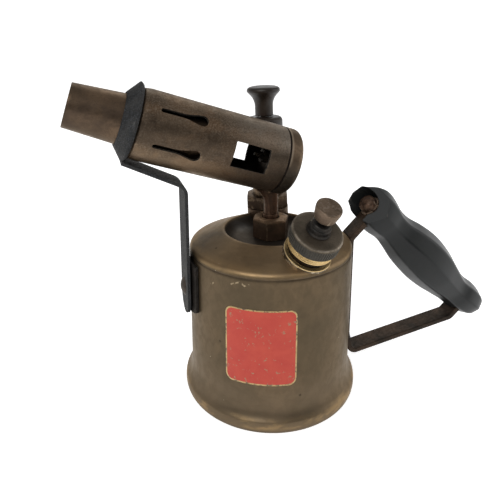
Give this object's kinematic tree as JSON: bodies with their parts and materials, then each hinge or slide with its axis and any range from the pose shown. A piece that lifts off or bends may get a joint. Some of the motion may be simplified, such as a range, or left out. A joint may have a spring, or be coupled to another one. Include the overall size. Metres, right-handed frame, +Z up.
{
  "type": "blow lamp",
  "caption": "Brass paraffin blow lamp with a round tank, a slotted burner tube, a pump, a screw filler cap and a slanted black grip.",
  "frame": {"origin": "on the plane that the lamp stands on, under the middle of its bounding box", "axes": "+Z up, -X the way the nozzle points, +X towards the grip, -Y towards the filler cap, +Y towards the pump"},
  "size_m": [0.262, 0.1108, 0.1855],
  "materials": {
    "tank_brass": "aged, brown patina over satin brass",
    "sooted_brass": "brass darkened by heat and soot",
    "bright_brass": "bare machined brass",
    "black_steel": "blackened strip steel",
    "brown_steel": "browned strip steel",
    "bakelite": "black moulded phenolic, satin",
    "leather": "oiled leather",
    "cotton": "braided cotton",
    "cork": "pressed cork"
  },
  "bodies": {
    "lamp": {"base_plate": "tank_brass", "bracket_pad": "black_steel", "bracket_rivet": "black_steel", "burner_bracket": "black_steel", "burner_head": "sooted_brass", "burner_shroud": "sooted_brass", "feed_tube": "bright_brass", "feed_wick": "cotton", "filler_neck": "bright_brass", "flame_tube": "sooted_brass", "gland_nut": "tank_brass", "grip_bolt": "brown_steel", "grip_insert": "bright_brass", "grip_nut": "brown_steel", "grip_washer": "brown_steel", "handle_bracket": "brown_steel", "handle_grip": "bakelite", "jet_nipple": "bright_brass", "pump_barrel": "tank_brass", "pump_cap": "bakelite", "pump_lock_nut": "tank_brass", "pump_neck": "tank_brass", "tank_gland": "bright_brass", "tank_shell": "tank_brass", "valve_body": "bright_brass", "valve_plug": "bright_brass", "valve_spring": "brown_steel"},
    "pump_plunger": {"pump_rod": "bright_brass", "pump_knob": "bakelite", "pump_cup": "leather", "pump_plate": "bright_brass", "pump_nut": "bright_brass"},
    "valve_poppet": {"valve_disc": "cork"},
    "cap_seal": {"filler_washer": "leather"},
    "filler_cap": {"filler_cap": "tank_brass", "release_gland": "sooted_brass"},
    "release_spindle": {"release_spindle": "bright_brass"},
    "release_knob": {"release_knob": "tank_brass"}
  },
  "joints": [
    {"name": "pump_stroke", "type": "slide", "parent": "lamp", "child": "pump_plunger", "axis": [-0.041, 0.0149, 0.999], "range_m": [0, 0.095]},
    {"name": "valve_lift", "type": "slide", "parent": "lamp", "child": "valve_poppet", "axis": [0.041, -0.0149, -0.999], "range_m": [0, 0.0015], "stiffness_N_per_m": 120, "springref_m": -0.0015, "deforming": ["valve_spring"]},
    {"name": "cap_lift", "type": "slide", "parent": "lamp", "child": "cap_seal", "axis": [0.1024, -0.4817, 0.8704], "range_m": [0, 0.00317]},
    {"name": "cap_turn", "type": "hinge", "parent": "cap_seal", "child": "filler_cap", "pos_m": [-0.01168, -0.03158, 0.09326], "axis": [0.1024, -0.4817, 0.8704], "range_deg": [0, 900]},
    {"name": "release_lift", "type": "slide", "parent": "filler_cap", "child": "release_spindle", "axis": [0.1024, -0.4817, 0.8704], "range_m": [0, 0.0016]},
    {"name": "release_turn", "type": "hinge", "parent": "release_spindle", "child": "release_knob", "pos_m": [-0.01168, -0.03158, 0.09326], "axis": [0.1024, -0.4817, 0.8704], "range_deg": [0, 720]}
  ],
  "couplings": [
    {"joint": "cap_turn", "follows": "cap_lift", "rad_per_m": 4947.3},
    {"joint": "release_turn", "follows": "release_lift", "rad_per_m": 7853.9}
  ]
}
